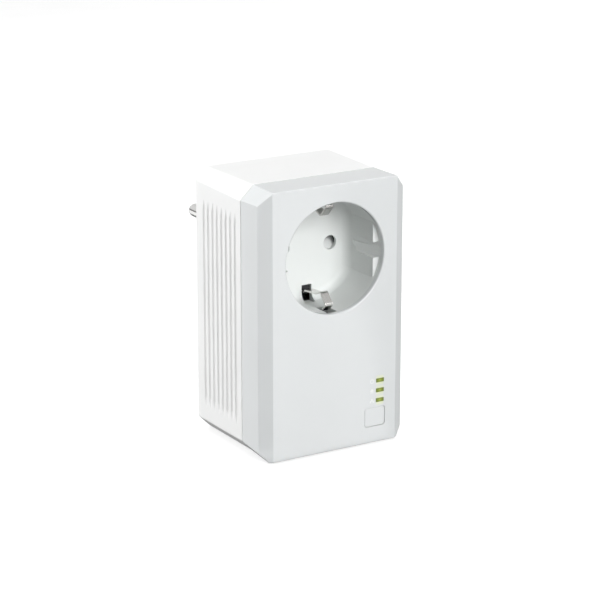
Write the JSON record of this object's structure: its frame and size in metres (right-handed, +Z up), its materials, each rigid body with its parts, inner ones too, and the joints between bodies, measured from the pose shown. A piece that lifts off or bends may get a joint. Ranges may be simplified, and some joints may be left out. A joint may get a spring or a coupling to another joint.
{
  "type": "powerline adapter",
  "caption": "Wall-plug powerline network adapter with an earthed pass-through socket in front, status lamps, a pairing button and a network port underneath.",
  "frame": {"origin": "middle of the whole object seen from above, on the surface that it stands on", "axes": "+Z up, +X right seen from the front, and the front face with the socket looks along -Y; the plug pins point along +Y"},
  "size_m": [0.0584, 0.0844, 0.096],
  "materials": {
    "case_plastic": "fine satin",
    "cover_plastic": "high gloss",
    "socket_plastic": "satin",
    "lamp_lens": "clear tinted",
    "icon_ink": "flat",
    "label_film": "satin",
    "nickel_plate": "polished",
    "nickel_strip": "bright rolled",
    "contact_brass": "rolled",
    "spring_steel": "drawn",
    "screw_steel": "zinc",
    "black_plastic": "moulded",
    "board_laminate": "solder mask",
    "led_plastic": "clear",
    "switch_plastic": "moulded",
    "gold_plate": "polished",
    "ferrite": "sintered",
    "winding_tape": "tape",
    "copper_wire": "enamelled",
    "capacitor_sleeve": "shrunk sleeve",
    "film_case": "moulded",
    "varistor_coat": "dipped",
    "fuse_ceramic": "glazed",
    "sink_aluminium": "anodised",
    "can_steel": "bright",
    "live_insulation": "extruded",
    "neutral_insulation": "extruded"
  },
  "bodies": {
    "case": {"board_link": "black_plastic", "board_screws": "screw_steel", "bulk_capacitors": "capacitor_sleeve", "choke_core": "ferrite", "choke_winding": "copper_wire", "contact_block": "black_plastic", "contact_block_screws": "screw_steel", "cover_screws": "screw_steel", "crystal": "can_steel", "earth_strap": "nickel_strip", "film_capacitor": "film_case", "front_cover": "cover_plastic", "fuse": "fuse_ceramic", "heat_sink": "sink_aluminium", "indicator_board": "board_laminate", "left_plug_pin": "nickel_plate", "light_guide": "lamp_lens", "line_coupler": "black_plastic", "live_contact": "contact_brass", "live_lead": "live_insulation", "lower_plug_earth": "nickel_strip", "main_board": "board_laminate", "memory_chips": "black_plastic", "network_chip": "black_plastic", "neutral_contact": "contact_brass", "neutral_lead": "neutral_insulation", "plug_base": "case_plastic", "plug_base_screws": "screw_steel", "plug_earth_sleeve": "nickel_strip", "port_contacts": "gold_plate", "port_housing": "black_plastic", "port_magnetics": "black_plastic", "port_shield": "nickel_strip", "rating_label": "label_film", "rear_shell": "case_plastic", "rectifier": "black_plastic", "right_plug_pin": "nickel_plate", "shutter_springs": "spring_steel", "socket_well": "socket_plastic", "status_icons": "icon_ink", "status_leds": "led_plastic", "switch_body": "black_plastic", "transformer_coil": "winding_tape", "transformer_core": "ferrite", "upper_plug_earth": "nickel_strip", "varistor": "varistor_coat"},
    "lower_earth_clip": {"lower_earth_clip": "nickel_strip"},
    "pair_button": {"pair_button": "cover_plastic"},
    "shutter": {"shutter": "socket_plastic"},
    "switch_plunger": {"switch_plunger": "switch_plastic"},
    "upper_earth_clip": {"upper_earth_clip": "nickel_strip"}
  },
  "joints": [
    {"name": "pair_button_press", "type": "slide", "parent": "case", "child": "pair_button", "axis": [0, 1, 0], "range_m": [0, 0.0003], "stiffness_N_per_m": 2000, "springref_m": -0.0002},
    {"name": "switch_plunger_press", "type": "slide", "parent": "case", "child": "switch_plunger", "axis": [0, 1, 0], "range_m": [0, 0.0003]},
    {"name": "shutter_slide", "type": "slide", "parent": "case", "child": "shutter", "axis": [0, 0, -1], "range_m": [0, 0.0062], "stiffness_N_per_m": 80, "springref_m": -0.003, "deforming": ["shutter_springs"]},
    {"name": "upper_earth_clip_flex", "type": "hinge", "parent": "case", "child": "upper_earth_clip", "pos_m": [0, -0.0207, 0.0878], "axis": [-1, 0, 0], "range_deg": [0, 6], "stiffness_Nm_per_rad": 0.3, "springref_deg": -2.86},
    {"name": "lower_earth_clip_flex", "type": "hinge", "parent": "case", "child": "lower_earth_clip", "pos_m": [0, -0.0207, 0.0516], "axis": [1, 0, 0], "range_deg": [0, 6], "stiffness_Nm_per_rad": 0.3, "springref_deg": -2.86}
  ],
  "couplings": [
    {"joint": "switch_plunger_press", "follows": "pair_button_press", "ratio": 1}
  ]
}
